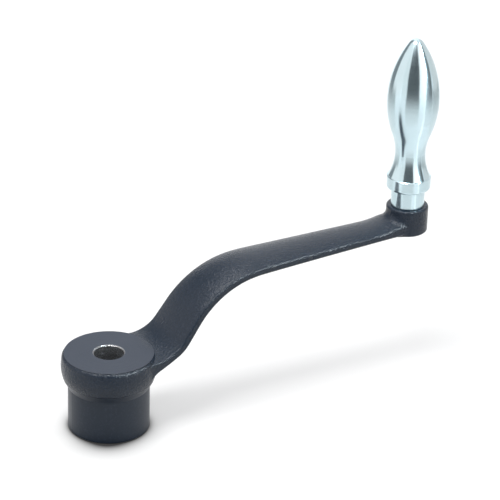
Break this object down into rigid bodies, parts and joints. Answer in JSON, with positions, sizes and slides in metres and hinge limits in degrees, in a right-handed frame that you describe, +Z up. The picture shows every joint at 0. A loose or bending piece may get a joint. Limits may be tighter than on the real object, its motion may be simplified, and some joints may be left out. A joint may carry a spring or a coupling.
{
  "type": "crank handle",
  "caption": "Offset cast machine crank with a bored round hub, an S-bent tapering arm and a turned steel handle that spins freely at its far end.",
  "frame": {"origin": "on the bore's axis, at the hub's lower end face", "axes": "+Z up the bore towards the machined disc, the way the handle points; +X from the hub to the handle; +Y completes a right-handed frame"},
  "size_m": [0.1948, 0.0446, 0.1667],
  "materials": {
    "crank_arm": "fine-textured dark blue-grey powder coating, disc face, bore and hub end bare or thinly coated",
    "spindle": "turned, bright zinc plated",
    "grip": "turned, bright zinc plated",
    "snap_ring": "plain spring wire"
  },
  "bodies": {
    "crank": {"crank_arm": "crank_arm", "spindle": "spindle"},
    "grip": {"grip": "grip", "snap_ring": "snap_ring"}
  },
  "joints": [
    {"name": "grip_spin", "type": "hinge", "parent": "crank", "child": "grip", "pos_m": [0.16, 0, 0.09], "axis": [0, 0, 1], "continuous": true}
  ]
}
